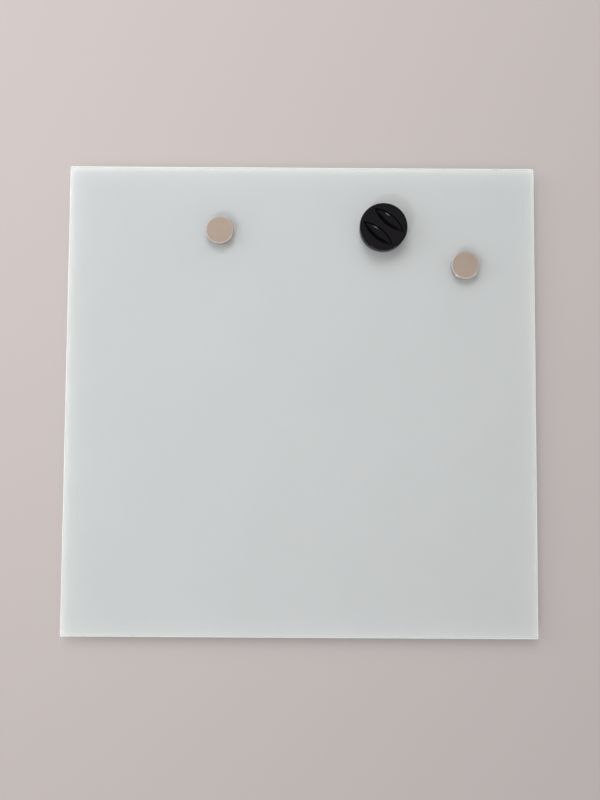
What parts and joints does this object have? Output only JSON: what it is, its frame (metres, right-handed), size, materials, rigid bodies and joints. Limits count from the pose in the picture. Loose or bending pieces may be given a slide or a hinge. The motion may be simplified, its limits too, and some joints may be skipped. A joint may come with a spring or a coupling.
{
  "type": "glass memo board",
  "caption": "Square magnetic memo board: white-backed toughened glass on a steel sheet with keyhole hangers and rubber bumpers, with disc magnets and a round grip magnet.",
  "frame": {"origin": "middle of the board, on the plane that the four rubber bumpers touch", "axes": "+Z out of the glass face, which is up as the board lies; +Y to the edge that is uppermost when it hangs; +X to the right of someone who looks at the face. Turned 90 degrees about +X it hangs on a wall."},
  "size_m": [0.5, 0.5, 0.0201],
  "materials": {
    "clear_glass": "polished toughened float glass, faintly green",
    "white_coat": "even white coat on the back of the glass",
    "foam_tape": "closed-cell foam tape",
    "galvanised_steel": "zinc-coated sheet with a fine spangle",
    "pressed_steel": "bright zinc-plated steel strip",
    "rivet_aluminium": "plain aluminium",
    "bumper_rubber": "matt black rubber",
    "nickel_plate": "satin nickel plate, warm in tone",
    "magnet_core": "plated magnet block",
    "black_plastic": "glossy moulded plastic",
    "foam_pad": "thin black foam"
  },
  "bodies": {
    "board": {"glass_panel": "clear_glass", "white_back_coat": "white_coat", "bonding_tape_1": "foam_tape", "bonding_tape_2": "foam_tape", "bonding_tape_3": "foam_tape", "bonding_tape_4": "foam_tape", "bonding_tape_5": "foam_tape", "bonding_tape_6": "foam_tape", "steel_back_sheet": "galvanised_steel", "hanger_top_left": "pressed_steel", "hanger_top_right": "pressed_steel", "hanger_bottom_left": "pressed_steel", "hanger_bottom_right": "pressed_steel", "hanger_rivet_top_left_left": "rivet_aluminium", "hanger_rivet_top_left_right": "rivet_aluminium", "hanger_rivet_top_right_left": "rivet_aluminium", "hanger_rivet_top_right_right": "rivet_aluminium", "hanger_rivet_bottom_left_left": "rivet_aluminium", "hanger_rivet_bottom_left_right": "rivet_aluminium", "hanger_rivet_bottom_right_left": "rivet_aluminium", "hanger_rivet_bottom_right_right": "rivet_aluminium", "wall_bumper_top_left": "bumper_rubber", "wall_bumper_top_right": "bumper_rubber", "wall_bumper_bottom_left": "bumper_rubber", "wall_bumper_bottom_right": "bumper_rubber"},
    "disc_magnet_left": {"disc_magnet_left_cup": "nickel_plate", "disc_magnet_left_core": "magnet_core"},
    "disc_magnet_right": {"disc_magnet_right_cup": "nickel_plate", "disc_magnet_right_core": "magnet_core"},
    "grip_magnet": {"grip_magnet_body": "black_plastic", "grip_magnet_core": "magnet_core", "grip_magnet_steel_plate": "pressed_steel", "grip_magnet_pad": "foam_pad"}
  },
  "joints": [
    {"name": "disc_magnet_left_lift", "type": "slide", "parent": "board", "child": "disc_magnet_left", "axis": [0, 0, 1], "range_m": [0, 0.06]},
    {"name": "disc_magnet_right_lift", "type": "slide", "parent": "board", "child": "disc_magnet_right", "axis": [0, 0, 1], "range_m": [0, 0.06]},
    {"name": "grip_magnet_lift", "type": "slide", "parent": "board", "child": "grip_magnet", "axis": [0, 0, 1], "range_m": [0, 0.06]}
  ]
}
